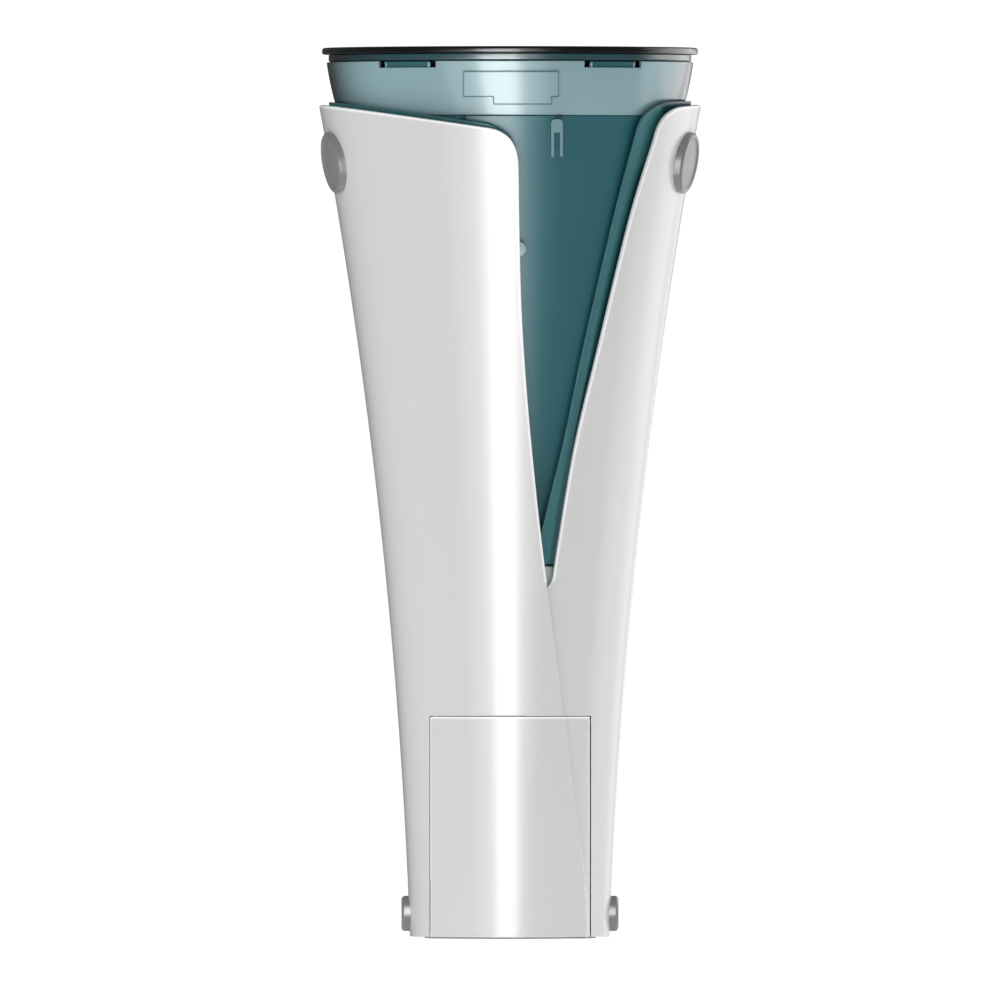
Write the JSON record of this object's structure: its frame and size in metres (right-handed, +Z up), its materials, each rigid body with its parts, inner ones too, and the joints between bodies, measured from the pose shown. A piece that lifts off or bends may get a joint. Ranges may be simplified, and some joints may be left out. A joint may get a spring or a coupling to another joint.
{
  "type": "sous vide circulator",
  "caption": "Free-standing flared sous vide bath: lidded translucent water tank with circulator base inside a white wrapped shell with a V opening and front service door.",
  "frame": {"origin": "centre of the face it rests on, on the upright axis of the body", "axes": "+Z up the body's axis, -Y to the front (service door and V opening), +X to the right of someone facing the front"},
  "size_m": [0.191, 0.188, 0.445],
  "materials": {
    "white_shell": "gloss white moulded",
    "tinted_tank": "clear dark teal, polished",
    "pale_tint": "clear pale teal, polished",
    "black_gloss": "gloss black",
    "cap_grey": "satin grey",
    "seat_grey": "matte moulded",
    "rubber": "matte",
    "steel": "brushed",
    "magnet": "sintered, matte",
    "dark_plastic": "fine texture",
    "board": "solder mask",
    "lens": "smoked, polished",
    "ceramic": "polished"
  },
  "bodies": {
    "stand": {"left_shell": "white_shell", "right_shell": "white_shell", "inner_liner": "tinted_tank", "rear_spine": "white_shell", "flap_standoff": "pale_tint", "upper_cap_left": "cap_grey", "upper_cap_right": "cap_grey", "upper_nut_left": "steel", "upper_nut_right": "steel", "lower_cap_left": "cap_grey", "lower_cap_right": "cap_grey", "foot_pad": "rubber", "base_plate": "dark_plastic", "frame_post_1": "steel", "frame_post_2": "steel", "frame_post_3": "steel", "frame_post_4": "steel", "motor_bracket": "steel", "tank_seat": "seat_grey", "seat_gasket": "rubber", "base_connector": "dark_plastic", "motor_housing": "steel", "door_hinge_pin": "steel", "catch_plate": "steel", "control_panel": "dark_plastic", "display_lens": "lens", "display_module": "dark_plastic", "dial_encoder": "dark_plastic", "button_switch": "dark_plastic", "control_board": "board", "power_board": "board", "transformer": "magnet", "rear_panel": "dark_plastic", "power_inlet": "dark_plastic", "switch_frame": "dark_plastic"},
    "door": {"access_door": "white_shell", "door_magnet": "magnet"},
    "motor": {"motor_rotor": "steel", "drive_magnet": "magnet"},
    "dial": {"dial_knob": "cap_grey"},
    "start_key": {"start_button": "pale_tint"},
    "power_switch": {"switch_rocker": "cap_grey"},
    "tank": {"water_tank": "tinted_tank", "tank_collar": "pale_tint", "rim_ring": "black_gloss", "base_seal": "rubber", "heater_plate": "steel", "base_cover": "dark_plastic", "tank_connector": "dark_plastic", "heating_element": "steel", "impeller_pin": "ceramic", "impeller_guard": "steel", "temperature_probe": "steel", "label_plate": "pale_tint"},
    "impeller": {"impeller": "dark_plastic", "follower_magnet": "magnet"},
    "clip": {"collar_clip": "pale_tint"},
    "lid": {"lid_disc": "black_gloss", "lid_gasket": "rubber", "lid_grip": "black_gloss"}
  },
  "joints": [
    {"name": "door_swing", "type": "hinge", "parent": "stand", "child": "door", "pos_m": [0.0268, -0.0346, 0.0555], "axis": [0, 0, 1], "range_deg": [0, 85]},
    {"name": "motor_spin", "type": "hinge", "parent": "stand", "child": "motor", "pos_m": [0, 0, 0.137], "axis": [0, 0, 1], "continuous": true},
    {"name": "dial_turn", "type": "hinge", "parent": "stand", "child": "dial", "pos_m": [-0.0145, -0.0315, 0.056], "axis": [0, -1, 0], "continuous": true},
    {"name": "start_press", "type": "slide", "parent": "stand", "child": "start_key", "axis": [0, 1, 0], "range_m": [0, 0.0012], "stiffness_N_per_m": 300},
    {"name": "power_rock", "type": "hinge", "parent": "stand", "child": "power_switch", "pos_m": [0, 0.043, 0.052], "axis": [1, 0, 0], "range_deg": [0, 12]},
    {"name": "tank_lift", "type": "slide", "parent": "stand", "child": "tank", "axis": [0, 0, 1], "range_m": [0, 0.24]},
    {"name": "impeller_spin", "type": "hinge", "parent": "tank", "child": "impeller", "pos_m": [0, 0, 0.199], "axis": [0, 0, 1], "continuous": true},
    {"name": "clip_press", "type": "hinge", "parent": "tank", "child": "clip", "pos_m": [0.0235, -0.0832, 0.4075], "axis": [0.9624, 0.2717, 0], "range_deg": [0, 3], "stiffness_Nm_per_rad": 0.05},
    {"name": "lid_lift", "type": "slide", "parent": "tank", "child": "lid", "axis": [0, 0, 1], "range_m": [0, 0.1]}
  ],
  "couplings": [
    {"joint": "impeller_spin", "follows": "motor_spin", "ratio": 1}
  ]
}
